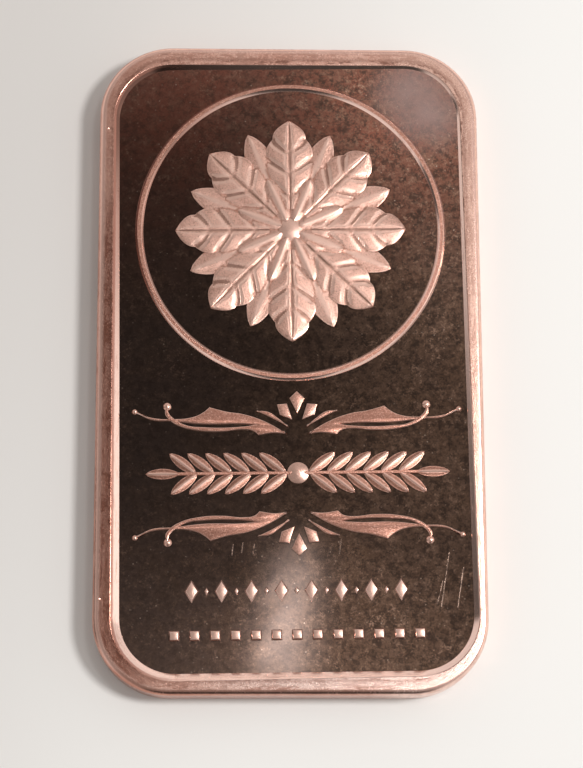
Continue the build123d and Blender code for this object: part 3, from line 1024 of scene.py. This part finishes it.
# painted light: the card's colour grades from darker to lighter towards the lamp
to_lamp = scaled(tree, y, -0.4, x)
colour = blend(tree, painted_shade_card, painted_lit_card, ease(tree, to_lamp, -0.036, 0.012))
tree.links.new(colour, shader.inputs["Base Color"])
shader.inputs["Roughness"].default_value = 0.8
shader.inputs["Emission Color"].default_value = (0.85, 0.83, 0.80, 1)
ray = add_node(tree, "ShaderNodeLightPath", {}).outputs
shine = times(tree, ray["Is Glossy Ray"], ease(tree, ray["Ray Length"], 0.08, 0.25), 0.5)
tree.links.new(shine, shader.inputs["Emission Strength"])
floor.data.materials.append(pale_card)


# The light: a soft panel from the right, a small one above it, and a pale room that is darker overhead.
# The room has pale cards overhead towards the far end, and dark ones overhead, at the left and near end.
# A thin bright strip, which the field mirrors as a streak, tapers away to the far side.

def hang_lamp(name, width, watts, spot):
    """A round lamp that faces the bar."""
    panel = bpy.data.lights.new(name, "AREA")
    panel.shape = "DISK"
    panel.size = width
    panel.energy = watts
    lamp = bpy.data.objects.new(name, panel)
    bpy.context.collection.objects.link(lamp)
    lamp.location = spot
    lamp.rotation_euler = Vector(spot).to_track_quat("Z", "Y").to_euler()


hang_lamp("side_panel", width=0.075, watts=0.71, spot=(0.19, 0.0, 0.30))
hang_lamp("top_panel", width=0.05, watts=0.105, spot=(0.1, 0.048, 0.4))

room = bpy.data.worlds.new("room")
bpy.context.scene.world = room
room.use_nodes = True
tree = room.node_tree
low_room = (0.88, 0.865, 0.85, 1)
high_room = (0.35, 0.34, 0.33, 1)
right_window = (1.6, 1.58, 1.55, 1)
far_glow = (1.3, 1.28, 1.25, 1)
strip_light = (6.0, 5.9, 5.8, 1)

aim = add_node(tree, "ShaderNodeTexCoord", {}).outputs["Generated"]
x, y, z = split(tree, aim)
light = blend(tree, low_room, high_room, ease(tree, z, 0.1, 0.9))
light = blend(tree, light, right_window, ease(tree, x, 0.94, 0.975), ease(tree, z, 0.35, 0.1))
far_right = reckon(tree, "ADD", x, y)
light = blend(tree, light, far_glow, ease(tree, z, 0.1, 0.05), ease(tree, far_right, 0.6, 0.95))

# each card: the direction of its middle, how near to it the card begins and is full, and its warm tone
for heading, begins, full, tone in (
    ((0.0, 0.53, 0.848), 0.968, 0.99, 0.72),
    ((0.16, 0.36, 0.919), 0.985, 0.998, 0.75),
    ((0.07, 0.346, 0.935), 0.9981, 0.99995, 1.05),
    ((0.036, 0.09, 0.995), 0.9962, 0.9998, 0.7),
    ((-0.97, 0.0, 0.21), 0.95, 0.973, 0.1),
    ((-0.065, 0.25, 0.966), 0.988, 0.9997, 0.12),
    ((0.0, -0.89, 0.45), 0.86, 0.96, 0.06),
):
    card = ease(tree, vector(tree, "DOT_PRODUCT", aim, heading), begins, full)
    light = blend(tree, light, (tone, tone * 0.97, tone * 0.94, 1), card)

# the strip, drawn on a level ceiling one unit above the bar, and squared so that its sides fade softly
upwards = reckon(tree, "MAXIMUM", z, 0.1)
across = reckon(tree, "DIVIDE", x, upwards)
along = reckon(tree, "DIVIDE", y, upwards)
from_middle = reckon(tree, "ABSOLUTE", reckon(tree, "ADD", scaled(tree, along, -0.23, across), 0.0124))
taper = scaled(tree, along, 17.0, -1.21)
strip = ease(tree, times(tree, from_middle, taper), 0.013, 0.0)
ends = times(tree, ease(tree, along, 0.172, 0.127), ease(tree, along, 0.098, 0.119))
light = blend(tree, light, strip_light, strip, strip, ends)
tree.links.new(light, tree.nodes["Background"].inputs["Color"])


# The camera: it looks down on the bar from the near end, at the photograph's angle.
# Its place and turn are fitted to the bar's four corners in the frame.

eye = bpy.data.cameras.new("camera")
sensor, focal_pixels, frame_pixels = 36, 2293, 768
eye.sensor_width = sensor
eye.lens = sensor * focal_pixels / frame_pixels
eye.clip_start = 0.01
camera = bpy.data.objects.new("camera", eye)
bpy.context.collection.objects.link(camera)
camera.location = (-5.74 * mm, -42.47 * mm, 169.04 * mm)
camera.rotation_euler = (radians(13.729), radians(-1.954), radians(-0.235))
bpy.context.scene.camera = camera
bpy.context.scene.view_settings.view_transform = "Standard"
